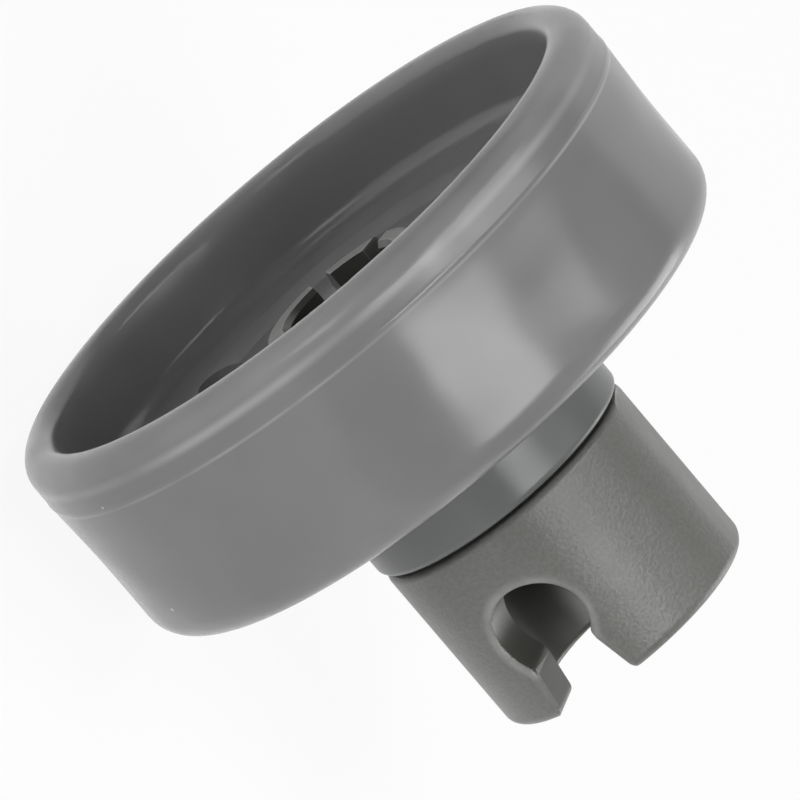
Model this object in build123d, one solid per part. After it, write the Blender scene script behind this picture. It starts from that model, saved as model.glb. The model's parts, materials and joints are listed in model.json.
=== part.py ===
"""Dishwasher rack wheel: a dished wheel snapped on to a clip for the rack wire.

Millimetres, +Z up.  The axle lies along Y with the dish facing -Y.  The rack wire
lies along X, and the origin is the point where the wire and the axle cross.
"""
import os
from math import cos, hypot, radians, sin, sqrt, tan

from build123d import *

# Wheel
WHEEL_DIAMETER = 40.0
WHEEL_WIDTH = 13.05
LIP_THICKNESS = 2.4
LIP_OUTER_ROUNDING = 1.45
LIP_FLAT = 0.1
BACK_ROUNDING = 1.9
PARTING_DEPTH = 2.8
PARTING_WIDTH = 0.5
PARTING_HEIGHT = 0.05
TREAD_HOLLOW = 0.18
RING_WALL = 2.8
DISH_DEPTH = 5.05
HUB_FLOOR_DROP = 0.4
HUB_FLOOR_RADIUS = 10.8
HUB_STEP_WIDTH = 2.0
WEB_THICKNESS = 2.0
DRAIN_HOLE_DIAMETER = 3.0
DRAIN_HOLE_CIRCLE = 22.4
DRAIN_HOLE_COUNT = 3
DRAIN_HOLE_START = 255.0

# Hub of the wheel
COLLAR_RADIUS = 8.5
COLLAR_LENGTH = 10.62
BEARING_GAP = 0.08
SNAP_HOLE_GAP = 0.25
NECK_GAP = 0.22

# Clip
CLIP_RADIUS = 8.33
CLIP_LENGTH = 11.25
CLIP_WALL = 3.0
CLIP_FLOOR = 2.0
CLIP_END_ROUNDING = 0.7
FLAT_FROM = 90.0
FLAT_TO = 117.0

# Keyhole for the wire
WIRE_DIAMETER = 5.5
WIRE_TO_END = 5.1
KEYHOLE_ROUNDING = 0.3
NOSE_ROUNDING = 0.5
THROAT_WIDTH = 4.2
LEAD_IN_WIDTH = 5.3
LEAD_IN_SHARE = 0.85
JAW_ROUNDING = 0.7

# Stub axle: two guide walls, and a snap finger on each side of the wire line
JOURNAL_RADIUS = 6.32
JOURNAL_WALL = 2.02
GUIDE_RADIUS = 5.1
GUIDE_WALL = 1.5
GUIDE_TOP_DEPTH = 3.9
END_GAP = 0.25
BARB_HEIGHT = 0.8
BARB_TAPER = 0.4
BARB_GAP = 0.2
FINGER_ANGLE = 57.0
FINGER_TURN = 6.0
SLOT_WIDTH = 1.2
SLOT_DEPTH = 7.5

# Stations along the axle, as depths from the lip towards the clip
HUB_FLOOR_DEPTH = DISH_DEPTH + HUB_FLOOR_DROP
WEB_BACK_DEPTH = HUB_FLOOR_DEPTH + WEB_THICKNESS
COLLAR_END_DEPTH = WEB_BACK_DEPTH + COLLAR_LENGTH
SHOULDER_DEPTH = COLLAR_END_DEPTH + NECK_GAP
CLIP_END_DEPTH = SHOULDER_DEPTH + CLIP_LENGTH
LIP_PLANE_Y = WIRE_TO_END - CLIP_END_DEPTH


def rounded_face(corners):
    """Face in the XY plane through (x, y, rounding) corners."""
    edges = []
    first = None
    last = None
    for i, (x, y, rounding) in enumerate(corners):
        here = Vector(x, y)
        back = (Vector(*corners[i - 1][:2]) - here).normalized()
        ahead = (Vector(*corners[(i + 1) % len(corners)][:2]) - here).normalized()
        if rounding:
            half = radians(back.get_angle(ahead)) / 2
            reach = rounding / tan(half)
            start = here + back * reach
            end = here + ahead * reach
            middle = here + (back + ahead).normalized() * (rounding / sin(half) - rounding)
        else:
            start = here
            end = here
        if last is not None and (start - last).length > 1e-6:
            edges.append(Line(last, start))
        if rounding:
            edges.append(ThreePointArc(start, middle, end))
        if first is None:
            first = start
        last = end
    edges.append(Line(last, first))
    return make_face(edges)


def turned(corners):
    """Solid turned about Y from (radius, depth, rounding) corners."""
    points = [(radius, LIP_PLANE_Y + depth, rounding) for radius, depth, rounding in corners]
    return revolve(rounded_face(points), Axis.Y)


def at_depth(depth, angle=0, radius=0):
    """Place at a depth, turned about the axle by an angle from +X towards +Z."""
    place = Pos(radius * cos(radians(angle)), LIP_PLANE_Y + depth, radius * sin(radians(angle)))
    return place * Rot(0, -angle, 0)


def make_wheel():
    crest = WHEEL_DIAMETER / 2
    tread = crest - PARTING_HEIGHT
    ring = crest - RING_WALL
    parting_end = PARTING_DEPTH + PARTING_WIDTH / 2
    bore = JOURNAL_RADIUS + BEARING_GAP
    snap_hole = GUIDE_RADIUS + SNAP_HOLE_GAP
    corners = [
        (crest - LIP_THICKNESS, 0, LIP_THICKNESS - LIP_OUTER_ROUNDING - LIP_FLAT),
        (tread, 0, LIP_OUTER_ROUNDING),
        (tread, PARTING_DEPTH - PARTING_WIDTH / 2, 0),
        (crest, PARTING_DEPTH, 0.4),
        (tread, parting_end, 0),
        (tread - TREAD_HOLLOW, (parting_end + WHEEL_WIDTH) / 2 - 1, 40),
        (tread - 0.8 * TREAD_HOLLOW, WHEEL_WIDTH, BACK_ROUNDING),
        (ring + 0.3, WHEEL_WIDTH, 0.6),
        (ring, WEB_BACK_DEPTH, 0.8),
        (COLLAR_RADIUS, WEB_BACK_DEPTH, 0.8),
        (COLLAR_RADIUS, COLLAR_END_DEPTH, 0.45),
        (bore, COLLAR_END_DEPTH, 0.3),
        (bore, WEB_BACK_DEPTH, 0),
        (snap_hole, WEB_BACK_DEPTH, 0.3),
        (snap_hole, HUB_FLOOR_DEPTH, 0.2),
        (HUB_FLOOR_RADIUS, HUB_FLOOR_DEPTH, 1.5),
        (HUB_FLOOR_RADIUS + HUB_STEP_WIDTH, DISH_DEPTH, 1.5),
        (ring, DISH_DEPTH, 1.0),
    ]
    wheel = turned(corners)
    hole = Rot(90, 0, 0) * Cylinder(DRAIN_HOLE_DIAMETER / 2, 4 * WEB_THICKNESS)
    for i in range(DRAIN_HOLE_COUNT):
        angle = DRAIN_HOLE_START + 360 * i / DRAIN_HOLE_COUNT
        wheel -= at_depth(HUB_FLOOR_DEPTH, angle, DRAIN_HOLE_CIRCLE / 2) * hole
    return wheel


def make_keyhole():
    """Wire bore, throat and lead-in as one cutter along X."""
    bore = WIRE_DIAMETER / 2
    half = THROAT_WIDTH / 2
    nose = sqrt(bore**2 - half**2)
    lead_in = LEAD_IN_SHARE * (WIRE_TO_END - nose)
    side = [
        (half, 0, 0),
        (half, WIRE_TO_END - lead_in, 0),
        (LEAD_IN_WIDTH / 2, WIRE_TO_END, JAW_ROUNDING),
        (CLIP_RADIUS, WIRE_TO_END, 0),
        (CLIP_RADIUS, WIRE_TO_END + 1, 0),
    ]
    outline = Circle(bore) + rounded_face(side + [(-z, y, rounding) for z, y, rounding in reversed(side)])
    noses = [v for v in outline.vertices() if abs(abs(v.X) - half) < 0.01 and abs(v.Y - nose) < 0.01]
    outline = fillet(noses, NOSE_ROUNDING)
    return Rot(0, -90, 0) * extrude(outline, 2 * CLIP_RADIUS, both=True)


def keyhole_edges(clip):
    """Outer edges of the keyhole, where it comes out of the round body."""
    found = []
    for edge in clip.edges():
        points = [edge.position_at(t) for t in (0.0, 0.25, 0.5, 0.75, 1.0)]
        on_body = all(abs(hypot(point.X, point.Z) - CLIP_RADIUS) < 0.01 for point in points)
        in_keyhole = all(abs(point.Z) < WIRE_DIAMETER / 2 + 0.1 for point in points)
        along = max(point.Y for point in points) - min(point.Y for point in points)
        if on_body and in_keyhole and along > 0.2:
            found.append(edge)
    return found


def make_flats():
    """Cutters for the two flats behind the mould parting."""
    start = radians(FLAT_FROM)
    end = radians(FLAT_TO)
    outline = [
        (CLIP_RADIUS * cos(start), CLIP_RADIUS * sin(start)),
        (CLIP_RADIUS * cos(end), CLIP_RADIUS * sin(end)),
        (CLIP_RADIUS * cos(end), CLIP_RADIUS + 2),
        (CLIP_RADIUS * cos(start), CLIP_RADIUS + 2),
    ]
    prism = Rot(90, 0, 0) * extrude(make_face(Polyline(*outline, close=True)), CLIP_LENGTH / 2 + 1, both=True)
    upper = at_depth(SHOULDER_DEPTH + CLIP_LENGTH / 2) * prism
    return upper, mirror(upper, about=Plane.XY)


def make_barbs():
    """Barbs of the two snap fingers, as a ring kept only across the fingers."""
    foot = HUB_FLOOR_DEPTH - BARB_GAP
    outer = GUIDE_RADIUS + BARB_HEIGHT
    inner = GUIDE_RADIUS - GUIDE_WALL
    ring = turned([
        (inner, GUIDE_TOP_DEPTH, 0),
        (GUIDE_RADIUS - BARB_TAPER, GUIDE_TOP_DEPTH, 0),
        (outer, foot - BARB_TAPER, 0.15),
        (outer, foot, 0),
        (inner, foot, 0),
    ])
    reach = 2 * outer
    half = reach * tan(radians(FINGER_ANGLE / 2))
    wedge = make_face(Polyline((0, 0), (reach, half), (reach, -half), close=True))
    sector = Rot(90, 0, 0) * extrude(wedge, SLOT_DEPTH, both=True)
    keep = at_depth(foot, FINGER_TURN) * sector
    return ring & (keep + at_depth(foot, FINGER_TURN + 180) * sector)


def make_axle_clip():
    journal_end = WEB_BACK_DEPTH + END_GAP
    journal_bore = JOURNAL_RADIUS - JOURNAL_WALL
    guide_bore = GUIDE_RADIUS - GUIDE_WALL
    cavity = CLIP_RADIUS - CLIP_WALL
    step = journal_end + JOURNAL_WALL
    corners = [
        (guide_bore + 0.3, GUIDE_TOP_DEPTH, 0),
        (GUIDE_RADIUS, GUIDE_TOP_DEPTH, 0.3),
        (GUIDE_RADIUS, journal_end, 0.2),
        (JOURNAL_RADIUS, journal_end, 0.4),
        (JOURNAL_RADIUS, SHOULDER_DEPTH, 0.2),
        (CLIP_RADIUS, SHOULDER_DEPTH, 0.4),
        (CLIP_RADIUS, CLIP_END_DEPTH, 0),
        (cavity, CLIP_END_DEPTH, 0.4),
        (cavity, SHOULDER_DEPTH + CLIP_FLOOR, 0.3),
        (journal_bore, SHOULDER_DEPTH + CLIP_FLOOR, 0.3),
        (journal_bore, step, 0.3),
        (guide_bore, step, 0.3),
        (guide_bore, GUIDE_TOP_DEPTH + 0.3, 0),
    ]
    clip = turned(corners) - make_keyhole()
    clip = fillet(keyhole_edges(clip), KEYHOLE_ROUNDING)
    rounding = CLIP_END_ROUNDING
    clip -= turned([
        (CLIP_RADIUS + 1, CLIP_END_DEPTH - rounding, 0),
        (CLIP_RADIUS, CLIP_END_DEPTH - rounding, 0),
        (CLIP_RADIUS, CLIP_END_DEPTH, rounding),
        (CLIP_RADIUS - rounding, CLIP_END_DEPTH, 0),
        (CLIP_RADIUS - rounding, CLIP_END_DEPTH + 1, 0),
        (CLIP_RADIUS + 1, CLIP_END_DEPTH + 1, 0),
    ])
    for flat in make_flats():
        clip -= flat
    clip += make_barbs()
    reach = GUIDE_RADIUS + 4 * BARB_HEIGHT
    slot = Pos(reach / 2, 0, 0) * Box(reach, SLOT_DEPTH, SLOT_WIDTH)
    for side in (0, 180):
        for edge in (-FINGER_ANGLE / 2, FINGER_ANGLE / 2):
            clip -= at_depth(GUIDE_TOP_DEPTH + SLOT_DEPTH / 2 - 0.01, FINGER_TURN + side + edge) * slot
    return clip


def main():
    os.makedirs("parts", exist_ok=True)
    for name, solid in (("wheel", make_wheel()), ("axle_clip", make_axle_clip())):
        export_step(solid, f"parts/{name}.step")


if __name__ == "__main__":
    main()
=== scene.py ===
import json
import math

import bmesh
import bpy
from bpy.props import FloatProperty, FloatVectorProperty, PointerProperty, StringProperty
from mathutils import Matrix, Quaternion, Vector


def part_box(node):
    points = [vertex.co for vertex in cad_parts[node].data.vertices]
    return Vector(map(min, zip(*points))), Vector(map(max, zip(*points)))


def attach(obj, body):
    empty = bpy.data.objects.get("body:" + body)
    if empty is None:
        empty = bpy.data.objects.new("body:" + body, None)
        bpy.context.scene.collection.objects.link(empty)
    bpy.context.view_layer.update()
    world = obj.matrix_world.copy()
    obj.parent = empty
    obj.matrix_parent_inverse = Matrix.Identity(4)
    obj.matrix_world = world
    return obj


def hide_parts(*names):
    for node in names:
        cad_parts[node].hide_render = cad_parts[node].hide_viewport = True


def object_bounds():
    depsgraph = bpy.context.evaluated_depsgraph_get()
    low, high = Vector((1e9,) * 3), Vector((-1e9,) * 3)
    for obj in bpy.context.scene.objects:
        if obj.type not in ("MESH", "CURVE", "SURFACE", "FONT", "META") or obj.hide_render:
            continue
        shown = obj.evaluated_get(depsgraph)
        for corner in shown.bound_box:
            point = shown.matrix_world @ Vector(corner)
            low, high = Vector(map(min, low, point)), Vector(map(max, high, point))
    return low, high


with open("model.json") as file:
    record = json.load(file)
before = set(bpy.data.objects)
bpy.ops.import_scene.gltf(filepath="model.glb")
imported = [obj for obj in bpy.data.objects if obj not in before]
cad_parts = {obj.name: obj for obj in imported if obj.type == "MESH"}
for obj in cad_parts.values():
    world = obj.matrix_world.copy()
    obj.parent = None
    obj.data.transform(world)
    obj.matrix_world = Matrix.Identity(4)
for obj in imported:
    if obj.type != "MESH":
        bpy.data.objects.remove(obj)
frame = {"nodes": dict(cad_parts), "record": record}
CAD_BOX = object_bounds()

bl_info = {
    "name": "Dishwasher rack wheel",
    "version": (1, 0, 0),
    "blender": (4, 5, 0),
    "location": "View3D > Sidebar > Rack wheel",
    "description": "Dresses a dished rack wheel and its wire clip, and sets up a studio",
    "category": "Object",
}

MM = 0.001

# The axle runs along Y: the lip of the dish is the low end of the wheel, and the hub collar its high end
WHEEL_LOW, WHEEL_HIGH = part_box("wheel")
LIP = WHEEL_LOW.y
TREAD_RADIUS = WHEEL_HIGH.z
# The collar comes out of the web this far from its end, and stays this close to the axle
COLLAR_FOOT = WHEEL_HIGH.y - 10.53 * MM
COLLAR_REACH = 9.4 * MM

# The wall of the keyhole and the corners of its throat stay close to the wire; the paler rim, a painted
# highlight, is round them
WIRE_RADIUS = frame["record"]["mounts"][0]["dims"]["r_mm"] * MM
KEYHOLE_REACH = WIRE_RADIUS + 0.25 * MM
KEYHOLE_RIM = KEYHOLE_REACH + 0.5 * MM
# Cosines: a face of a hollow turns to the axle by more than this, one of the keyhole along the wire by less
HOLLOW_FACING = 0.3
KEYHOLE_FACING = 0.5

# Vertices closer than this are one, and edges shorter than this are dissolved
MERGE_DISTANCE = 0.002 * MM
SHORTEST_EDGE = 0.001 * MM
# Edges are sharp from this turn, and long ones from a smaller turn, because the side flats of the clip meet
# its round wall at 15 degrees
SHARP_TURN = math.radians(24)
LONG_EDGE = 5 * MM
LONG_EDGE_TURN = math.radians(14)

# Indices of refraction
ACETAL_IOR = 1.48
POLYPROPYLENE_IOR = 1.49
# Settings of a Map Range node whose result levels off softly at both ends
SOFT_ENDS = {"interpolation_type": "SMOOTHSTEP"}

# The studio: a white sweep far larger than the part, and soft boxes round it, in metres
SWEEP_HALF = 3.0
SWEEP_RISE = 3.0
SWEEP_BEND = 1.0
SWEEP_BEND_STEPS = 16
# Share of plain white in what the camera sees of the sweep: the rest is lit, and keeps the shadow
SWEEP_WHITE = 0.92
LAMP_DISTANCE = 0.6
LAMP_AIM = Vector((0, -10 * MM, 0))
# Name, azimuth and elevation in degrees, width and height in metres, power in watts
LAMPS = (
    ("Key soft box", 110, 45, 0.2, 0.3, 1.3),
    ("High soft box", 90, 64, 0.2, 0.2, 0.35),
    ("Top panel", 75, 85, 0.3, 0.3, 0.9),
    ("Low front panel", 50, 8, 0.2, 0.2, 0.32),
    ("Clip end fill", 215, 20, 0.3, 0.3, 0.9),
)


def linear(hex_colour):
    """sRGB hex colour as linear RGBA."""
    values = [int(hex_colour[i:i + 2], 16) / 255 for i in (1, 3, 5)]
    return [v / 12.92 if v <= 0.04045 else ((v + 0.055) / 1.055) ** 2.4 for v in values] + [1.0]


def add_node(tree, kind, settings=None, inputs=None):
    """Add a node; inputs are values, or output sockets to link from."""
    node = tree.nodes.new(kind)
    for name, value in (settings or {}).items():
        setattr(node, name, value)
    for name, value in (inputs or {}).items():
        if isinstance(value, bpy.types.NodeSocket):
            tree.links.new(value, node.inputs[name])
        else:
            node.inputs[name].default_value = value
    return node


def new_material(name):
    """Empty material with its node tree."""
    material = bpy.data.materials.new(name)
    material.use_nodes = True
    material.node_tree.nodes.clear()
    return material, material.node_tree


def smooth_copy(node_name, name, body):
    """Merged copy of a CAD node, smooth over curves and sharp at corners."""
    mesh = frame["nodes"][node_name].data.copy()
    mesh.name = name
    mesh.materials.clear()
    work = bmesh.new()
    work.from_mesh(mesh)
    bmesh.ops.remove_doubles(work, verts=work.verts, dist=MERGE_DISTANCE)
    bmesh.ops.dissolve_degenerate(work, edges=work.edges, dist=SHORTEST_EDGE)
    for face in work.faces:
        face.smooth = True
    for edge in work.edges:
        limit = LONG_EDGE_TURN if edge.calc_length() > LONG_EDGE else SHARP_TURN
        edge.smooth = edge.calc_face_angle(0) < limit
    work.to_mesh(mesh)
    work.free()
    piece = bpy.data.objects.new(name, mesh)
    bpy.context.scene.collection.objects.link(piece)
    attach(piece, body)
    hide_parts(node_name)
    return piece


def patches(tree, size, low, high, detail=2.0):
    """Soft patches about `size` millimetres across, with values from low to high."""
    place = add_node(tree, "ShaderNodeTexCoord").outputs["Object"]
    inputs = {"Vector": place, "Scale": 1 / (size * MM), "Detail": detail}
    noise = add_node(tree, "ShaderNodeTexNoise", inputs=inputs).outputs["Fac"]
    # Noise seldom leaves the middle of its range, so the middle is spread out, with soft ends
    inputs = {"Value": noise, "From Min": 0.2, "From Max": 0.8, "To Min": low, "To Max": high}
    return add_node(tree, "ShaderNodeMapRange", SOFT_ENDS, inputs).outputs["Result"]


def relief(tree, size, height, detail):
    """Normal of a surface with soft bumps, about `size` millimetres across and at most `height` high."""
    place = add_node(tree, "ShaderNodeTexCoord").outputs["Object"]
    inputs = {"Vector": place, "Scale": 1 / (size * MM), "Detail": detail}
    bumps = add_node(tree, "ShaderNodeTexNoise", inputs=inputs).outputs["Fac"]
    inputs = {"Height": bumps, "Strength": 1.0, "Distance": height * MM}
    return add_node(tree, "ShaderNodeBump", inputs=inputs).outputs["Normal"]


def distance_across(tree, across):
    """Distance from a line through the origin; `across` is 1 on the axes across the line and 0 along it."""
    place = add_node(tree, "ShaderNodeTexCoord").outputs["Object"]
    flat = add_node(tree, "ShaderNodeVectorMath", {"operation": "MULTIPLY"}, {0: place, 1: across})
    reach = add_node(tree, "ShaderNodeVectorMath", {"operation": "LENGTH"}, {0: flat.outputs["Vector"]})
    return reach.outputs["Value"]


def band_mask(tree, middle, width, nearest):
    """1 on a band round the axle, fading to 0 over half its width; 0 nearer to the axle than `nearest`."""
    place = add_node(tree, "ShaderNodeTexCoord").outputs["Object"]
    along = add_node(tree, "ShaderNodeSeparateXYZ", inputs={"Vector": place}).outputs["Y"]
    off = add_node(tree, "ShaderNodeMath", {"operation": "SUBTRACT"}, {0: along, 1: middle}).outputs[0]
    away = add_node(tree, "ShaderNodeMath", {"operation": "ABSOLUTE"}, {0: off}).outputs[0]
    inputs = {"Value": away, "From Min": 0, "From Max": width / 2, "To Min": 1, "To Max": 0}
    band = add_node(tree, "ShaderNodeMapRange", SOFT_ENDS, inputs).outputs["Result"]
    inputs = {0: distance_across(tree, (1, 0, 1)), 1: nearest}
    outside = add_node(tree, "ShaderNodeMath", {"operation": "GREATER_THAN"}, inputs).outputs[0]
    return add_node(tree, "ShaderNodeMath", {"operation": "MULTIPLY"}, {0: band, 1: outside}).outputs[0]


def keyhole_mask(tree):
    """1 at the wall of the keyhole, fading to 0 at the outside of its rim."""
    inputs = {
        "Value": distance_across(tree, (0, 1, 1)),
        "From Min": KEYHOLE_REACH,
        "From Max": KEYHOLE_RIM,
        "To Min": 1,
        "To Max": 0,
    }
    return add_node(tree, "ShaderNodeMapRange", SOFT_ENDS, inputs).outputs["Result"]


def edge_mask(tree, radius):
    """1 at edges, from the way that normals turn within `radius` millimetres; 0 on open faces."""
    turned = add_node(tree, "ShaderNodeBevel", {"samples": 6}, {"Radius": radius * MM}).outputs["Normal"]
    straight = add_node(tree, "ShaderNodeNewGeometry").outputs["Normal"]
    same = add_node(tree, "ShaderNodeVectorMath", {"operation": "DOT_PRODUCT"}, {0: turned, 1: straight})
    # Full from a turn of about 32 degrees, and none under 6
    inputs = {"Value": same.outputs["Value"], "From Min": 0.85, "From Max": 0.995, "To Min": 1, "To Max": 0}
    return add_node(tree, "ShaderNodeMapRange", inputs=inputs).outputs["Result"]


def in_stretches(tree, mask, size, least, most):
    """The mask, cut down in stretches about `size` millimetres long to between least and most of itself."""
    share = patches(tree, size, least, most)
    return add_node(tree, "ShaderNodeMath", {"operation": "MULTIPLY"}, {0: mask, 1: share}).outputs[0]


def layered_colour(tree, base, layers):
    """Colour of a base with layers over it; each layer is a mask and the hex colour that it brings in."""
    colour = linear(base)
    for mask, layer in layers:
        # A Mix node names its sockets alike for every type: 0, 6, 7 and output 2 are those for colours
        inputs = {0: mask, 6: colour, 7: linear(layer)}
        colour = add_node(tree, "ShaderNodeMix", {"data_type": "RGBA"}, inputs).outputs[2]
    return colour


def blasted_acetal(finish):
    """Acetal moulded in a fine-blasted tool: clouded grey, a soft and uneven sheen, a few pale nicks."""
    material, tree = new_material("Acetal, moulded in a fine-blasted tool")
    # Pale in stretches where it stands out most, the lip, its crest and the parting line below it: painted
    # highlight where these catch the light
    lip = band_mask(tree, LIP + 0.24 * MM, 3.2 * MM, TREAD_RADIUS - 3.4 * MM)
    crest = band_mask(tree, LIP + 1.64 * MM, 0.9 * MM, TREAD_RADIUS - 0.5 * MM)
    parting_line = band_mask(tree, LIP + 3.09 * MM, 0.3 * MM, TREAD_RADIUS - 0.5 * MM)
    # A nick round one point of each cell, where the surface passes close to it
    cell = 4 * MM
    nick_radius = 0.1 * MM
    place = add_node(tree, "ShaderNodeTexCoord").outputs["Object"]
    cells = add_node(tree, "ShaderNodeTexVoronoi", inputs={"Vector": place, "Scale": 1 / cell})
    inputs = {0: cells.outputs["Distance"], 1: nick_radius / cell}
    nicks = add_node(tree, "ShaderNodeMath", {"operation": "LESS_THAN"}, inputs).outputs[0]
    layers = [
        # Flow clouds, just lighter than the shade
        (patches(tree, 7, 0, 1), finish.wheel_colour),
        (in_stretches(tree, lip, 8, 0.2, 0.7), finish.wear_and_highlight_colour),
        (in_stretches(tree, crest, 9, 0, 1), finish.wear_and_highlight_colour),
        (in_stretches(tree, parting_line, 6, 0.1, 1), finish.wear_and_highlight_colour),
        (nicks, finish.nick_colour),
    ]
    roughness = finish.wheel_roughness
    inputs = {
        "Base Color": layered_colour(tree, finish.wheel_shade, layers),
        "Roughness": patches(tree, 5, roughness - 0.05, roughness + 0.05),
        "IOR": ACETAL_IOR,
        # Sink waves bend the reflections and make their edges uneven
        "Normal": relief(tree, 8, 0.3, detail=1.0),
    }
    shader = add_node(tree, "ShaderNodeBsdfPrincipled", inputs=inputs)
    add_node(tree, "ShaderNodeOutputMaterial", inputs={"Surface": shader.outputs["BSDF"]})
    return material


def collar_shade_acetal(finish):
    """Acetal of the collar: fine turning marks dull the sheen, and its grey, darker than the wheel's, is
    painted shade from the wheel ring round it.
    """
    material, tree = new_material("Acetal of the collar, darker as painted shade")
    clouds = patches(tree, 5, 0, 1)
    roughness = finish.collar_roughness
    inputs = {
        "Base Color": layered_colour(tree, finish.collar_painted_shade_dark, [(clouds, finish.collar_painted_shade)]),
        "Roughness": patches(tree, 3, roughness - 0.03, roughness + 0.03),
        "IOR": ACETAL_IOR,
        # Sink waves as on the tread, but shallower
        "Normal": relief(tree, 6, 0.15, detail=1.0),
    }
    shader = add_node(tree, "ShaderNodeBsdfPrincipled", inputs=inputs)
    add_node(tree, "ShaderNodeOutputMaterial", inputs={"Surface": shader.outputs["BSDF"]})
    return material


def eroded_polypropylene(finish):
    """Polypropylene moulded in a spark-eroded tool: a fine pebbled grain that breaks up a broad sheen."""
    material, tree = new_material("Polypropylene, moulded in a spark-eroded tool")
    # Spark craters are about 0.05 mm wide: drawn at the grain size, so that they show
    grain = finish.clip_grain
    layers = [
        (patches(tree, grain, 0, 1, detail=3.0), finish.clip_colour),
        # Paler along the edges, in stretches, as wear and as painted highlight on their roundings, and
        # round the keyhole as painted highlight on its rim
        (in_stretches(tree, edge_mask(tree, 0.45), 3, 0.4, 1), finish.wear_and_highlight_colour),
        (in_stretches(tree, keyhole_mask(tree), 2, 0.2, 0.6), finish.wear_and_highlight_colour),
    ]
    roughness = finish.clip_roughness
    inputs = {
        "Base Color": layered_colour(tree, finish.clip_shade, layers),
        "Roughness": patches(tree, 4, roughness - 0.05, roughness + 0.05),
        "IOR": POLYPROPYLENE_IOR,
        "Normal": relief(tree, grain, 0.04, detail=3.0),
    }
    shader = add_node(tree, "ShaderNodeBsdfPrincipled", inputs=inputs)
    add_node(tree, "ShaderNodeOutputMaterial", inputs={"Surface": shader.outputs["BSDF"]})
    return material


def hollow_shade_polypropylene(finish):
    """Polypropylene in the hollows and the keyhole's wall, smooth and without grain; its grey, darker than
    the clip's, is painted shade.
    """
    material, tree = new_material("Polypropylene of the hollows, darker as painted shade")
    clouds = patches(tree, 3, 0, 1)
    roughness = finish.clip_roughness
    inputs = {
        "Base Color": layered_colour(tree, finish.hollow_painted_shade_dark, [(clouds, finish.hollow_painted_shade)]),
        "Roughness": patches(tree, 2, roughness - 0.06, roughness),
        "IOR": POLYPROPYLENE_IOR,
    }
    shader = add_node(tree, "ShaderNodeBsdfPrincipled", inputs=inputs)
    add_node(tree, "ShaderNodeOutputMaterial", inputs={"Surface": shader.outputs["BSDF"]})
    return material


class RackWheelFinish(bpy.types.PropertyGroup):
    """Colours and roughness of the two mouldings"""

    # Each roughness stays on one side of 0.27 with its patches: across it, they render with contour lines

    wheel_colour: StringProperty(
        name="Wheel colour", description="sRGB hex colour of the wheel", default="#868686"
    )
    wheel_shade: StringProperty(
        name="Wheel shade", description="sRGB hex colour between the wheel's clouds", default="#808080"
    )
    nick_colour: StringProperty(
        name="Nick colour", description="sRGB hex colour of the nicks", default="#c8c8c8"
    )
    # Pale colour of worn edges on the clip, and of painted highlight on the lip and on rounded edges
    wear_and_highlight_colour: StringProperty(
        name="Wear and highlight colour", description="sRGB hex colour of worn edges and painted highlight", default="#aaaaaa"
    )
    wheel_roughness: FloatProperty(
        name="Wheel roughness",
        description="Roughness of the wheel outside its collar",
        default=0.22,
        min=0,
        max=1,
        subtype="FACTOR",
    )
    collar_painted_shade: StringProperty(
        name="Collar painted shade", description="sRGB hex colour painted on the collar as shade", default="#707271"
    )
    collar_painted_shade_dark: StringProperty(
        name="Collar painted shade, darker", description="sRGB hex colour between the clouds of the collar's painted shade", default="#6a6c6b"
    )
    collar_roughness: FloatProperty(
        name="Collar roughness",
        description="Roughness of the collar",
        default=0.32,
        min=0,
        max=1,
        subtype="FACTOR",
    )
    clip_colour: StringProperty(
        name="Clip colour", description="sRGB hex colour of the clip", default="#7c7c79"
    )
    clip_shade: StringProperty(
        name="Clip shade", description="sRGB hex colour between the clip's grain", default="#70706d"
    )
    hollow_painted_shade: StringProperty(
        name="Hollow painted shade", description="sRGB hex colour painted in the hollows as shade", default="#52524e"
    )
    hollow_painted_shade_dark: StringProperty(
        name="Hollow painted shade, darker", description="sRGB hex colour between the clouds of the painted shade in the hollows", default="#4b4b47"
    )
    clip_roughness: FloatProperty(
        name="Clip roughness",
        description="Roughness of the clip",
        default=0.36,
        min=0,
        max=1,
        subtype="FACTOR",
    )
    clip_grain: FloatProperty(
        name="Clip grain", description="Grain of the clip, in millimetres", default=0.22, min=0.05
    )


class RackWheelStage(bpy.types.PropertyGroup):
    """Camera, floor and fill light"""

    camera_aim: FloatVectorProperty(
        name="Aim",
        description="Point the camera looks at, in millimetres",
        default=(2.853, -13.894, -0.137),
    )
    camera_azimuth: FloatProperty(
        name="Azimuth",
        description="Camera's turn round the wheel",
        default=math.radians(75.218),
        subtype="ANGLE",
    )
    camera_elevation: FloatProperty(
        name="Elevation",
        description="Camera's height angle",
        default=math.radians(26.478),
        subtype="ANGLE",
    )
    camera_roll: FloatProperty(
        name="Roll",
        description="Camera's turn about its view line",
        default=math.radians(56.354),
        subtype="ANGLE",
    )
    camera_distance: FloatProperty(
        name="Distance", description="Camera to aim point", default=0.6, min=0.1, unit="LENGTH"
    )
    camera_lens: FloatProperty(
        name="Lens", description="Focal length in millimetres", default=489.39, min=1, unit="CAMERA"
    )
    floor_colour: StringProperty(
        name="Floor colour", description="sRGB hex colour of the floor", default="#ffffff"
    )
    fill: FloatProperty(
        name="Fill", description="Strength of the light from all round", default=0.1, min=0
    )


def direction(azimuth, elevation):
    """Unit vector towards an azimuth and elevation; azimuth 0 is in front of the dish."""
    flat = math.cos(elevation)
    return Vector((math.sin(azimuth) * flat, -math.cos(azimuth) * flat, math.sin(elevation)))


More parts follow.
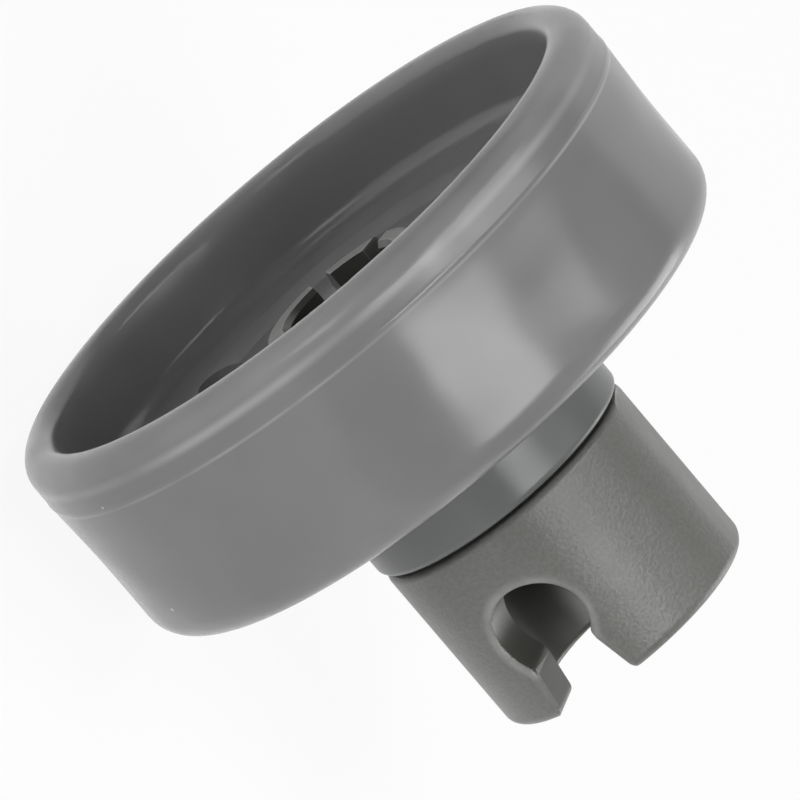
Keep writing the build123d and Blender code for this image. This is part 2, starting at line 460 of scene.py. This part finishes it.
def add_lamp(name, azimuth, elevation, width, height, power):
    """Soft box that faces the middle of the part; angles in degrees, sizes in metres."""
    light = bpy.data.lights.new(name, "AREA")
    light.shape = "RECTANGLE"
    light.size = width
    light.size_y = height
    light.energy = power
    lamp = bpy.data.objects.new(name, light)
    away = direction(math.radians(azimuth), math.radians(elevation))
    lamp.location = LAMP_AIM + away * LAMP_DISTANCE
    lamp.rotation_mode = "QUATERNION"
    lamp.rotation_quaternion = away.to_track_quat("Z", "Y")
    bpy.context.scene.collection.objects.link(lamp)


def white_card(hex_colour):
    """Painted studio card: lit where it lights the part, and nearly plain white to the camera."""
    material, tree = new_material("White studio card")
    # Camera, glossy and transmission rays see the white, so the part reflects it too
    path = add_node(tree, "ShaderNodeLightPath").outputs
    seen = path["Is Camera Ray"]
    for ray in ("Is Glossy Ray", "Is Transmission Ray"):
        either = add_node(tree, "ShaderNodeMath", {"operation": "MAXIMUM"}, {0: seen, 1: path[ray]})
        seen = either.outputs[0]
    share = add_node(tree, "ShaderNodeMath", {"operation": "MULTIPLY"}, {0: seen, 1: SWEEP_WHITE})
    lit = add_node(tree, "ShaderNodeBsdfDiffuse", inputs={"Color": linear(hex_colour)})
    white = add_node(tree, "ShaderNodeEmission", inputs={"Color": linear(hex_colour), "Strength": 1.0})
    inputs = {0: share.outputs[0], 1: lit.outputs["BSDF"], 2: white.outputs["Emission"]}
    mix = add_node(tree, "ShaderNodeMixShader", inputs=inputs)
    add_node(tree, "ShaderNodeOutputMaterial", inputs={"Surface": mix.outputs["Shader"]})
    return material


class RACKWHEEL_OT_wheel(bpy.types.Operator):
    """Dress the wheel: tread ring, dish, web and collar in one moulding"""

    bl_idname = "rackwheel.wheel"
    bl_label = "Wheel"

    def execute(self, context):
        finish = context.scene.rack_wheel_finish
        piece = smooth_copy("wheel", "wheel_moulding", "wheel")
        piece.data.materials.append(blasted_acetal(finish))
        piece.data.materials.append(collar_shade_acetal(finish))
        for face in piece.data.polygons:
            from_axle = math.hypot(face.center.x, face.center.z)
            # The collar's faces take the darker material: painted shade from the wheel ring round it
            if face.center.y > COLLAR_FOOT and from_axle < COLLAR_REACH:
                face.material_index = 1
        return {"FINISHED"}


class RACKWHEEL_OT_axle_clip(bpy.types.Operator):
    """Dress the clip with its stub axle and snap fingers"""

    bl_idname = "rackwheel.axle_clip"
    bl_label = "Axle clip"

    def execute(self, context):
        finish = context.scene.rack_wheel_finish
        piece = smooth_copy("axle_clip", "axle_clip_moulding", "clip")
        piece.data.materials.append(eroded_polypropylene(finish))
        piece.data.materials.append(hollow_shade_polypropylene(finish))
        for face in piece.data.polygons:
            to_axle = -face.center * Vector((1, 0, 1))
            in_hollow = to_axle.normalized().dot(face.normal) > HOLLOW_FACING
            from_wire = math.hypot(face.center.y, face.center.z)
            in_keyhole = from_wire < KEYHOLE_REACH and abs(face.normal.x) < KEYHOLE_FACING
            # Faces of the hollows and of the keyhole's wall take the darker material: painted shade
            if in_hollow or in_keyhole:
                face.material_index = 1
        return {"FINISHED"}


class RACKWHEEL_OT_stage(bpy.types.Operator):
    """Set up the floor, the soft light and the camera"""

    bl_idname = "rackwheel.stage"
    bl_label = "Stage"

    def execute(self, context):
        scene = context.scene
        settings = scene.rack_wheel_stage
        self.make_sweep(scene, settings)
        self.make_world(scene, settings)
        for lamp in LAMPS:
            add_lamp(*lamp)
        self.make_camera(scene, settings)
        scene.view_settings.view_transform = "Standard"
        return {"FINISHED"}

    def make_sweep(self, scene, settings):
        """White floor that bends up to a backdrop, far behind the part."""
        work = bmesh.new()
        bmesh.ops.create_grid(work, x_segments=1, y_segments=1, size=SWEEP_HALF)
        far = [edge for edge in work.edges if all(vert.co.x < 0 for vert in edge.verts)]
        raised = bmesh.ops.extrude_edge_only(work, edges=far)["geom"]
        top = [item for item in raised if isinstance(item, bmesh.types.BMVert)]
        bmesh.ops.translate(work, verts=top, vec=(0, 0, SWEEP_RISE))
        bmesh.ops.bevel(
            work,
            geom=far,
            offset=SWEEP_BEND,
            segments=SWEEP_BEND_STEPS,
            profile=0.5,
            affect="EDGES",
            material=-1,
        )
        bmesh.ops.translate(work, verts=work.verts, vec=(0, 0, CAD_BOX[0].z))
        mesh = bpy.data.meshes.new("sweep")
        work.to_mesh(mesh)
        work.free()
        mesh.materials.append(white_card(settings.floor_colour))
        sweep = bpy.data.objects.new("sweep", mesh)
        scene.collection.objects.link(sweep)

    def make_world(self, scene, settings):
        """Dim, even light from all round."""
        world = bpy.data.worlds.new("Dim studio")
        world.use_nodes = True
        tree = world.node_tree
        tree.nodes.clear()
        inputs = {"Color": (1, 1, 1, 1), "Strength": settings.fill}
        light = add_node(tree, "ShaderNodeBackground", inputs=inputs)
        add_node(tree, "ShaderNodeOutputWorld", inputs={"Surface": light.outputs["Background"]})
        scene.world = world

    def make_camera(self, scene, settings):
        """Long lens on the side of the part, rolled so that the axle slopes across the picture."""
        data = bpy.data.cameras.new("Camera")
        data.lens = settings.camera_lens
        data.sensor_width = 36
        data.clip_start = 0.01
        data.clip_end = 20
        camera = bpy.data.objects.new("Camera", data)
        back = direction(settings.camera_azimuth, settings.camera_elevation)
        camera.location = Vector(settings.camera_aim) * MM + back * settings.camera_distance
        camera.rotation_mode = "QUATERNION"
        upright = (-back).to_track_quat("-Z", "Y")
        camera.rotation_quaternion = upright @ Quaternion((0, 0, 1), settings.camera_roll)
        scene.collection.objects.link(camera)
        scene.camera = camera


class RACKWHEEL_PT_panel(bpy.types.Panel):
    """Pieces and stage of the rack wheel"""

    bl_idname = "RACKWHEEL_PT_panel"
    bl_label = "Rack wheel"
    bl_space_type = "VIEW_3D"
    bl_region_type = "UI"
    bl_category = "Rack wheel"

    def draw(self, context):
        layout = self.layout
        for group in (context.scene.rack_wheel_finish, context.scene.rack_wheel_stage):
            for name in group.__annotations__:
                layout.prop(group, name)
        for operator in (RACKWHEEL_OT_wheel, RACKWHEEL_OT_axle_clip, RACKWHEEL_OT_stage):
            layout.operator(operator.bl_idname)


CLASSES = (
    RackWheelFinish,
    RackWheelStage,
    RACKWHEEL_OT_wheel,
    RACKWHEEL_OT_axle_clip,
    RACKWHEEL_OT_stage,
    RACKWHEEL_PT_panel,
)


def register():
    for cls in CLASSES:
        bpy.utils.register_class(cls)
    bpy.types.Scene.rack_wheel_finish = PointerProperty(type=RackWheelFinish)
    bpy.types.Scene.rack_wheel_stage = PointerProperty(type=RackWheelStage)


def unregister():
    del bpy.types.Scene.rack_wheel_stage
    del bpy.types.Scene.rack_wheel_finish
    for cls in reversed(CLASSES):
        bpy.utils.unregister_class(cls)


def main():
    register()
    bpy.ops.rackwheel.wheel()
    bpy.ops.rackwheel.axle_clip()
    bpy.ops.rackwheel.stage()


if __name__ == "__main__":
    main()
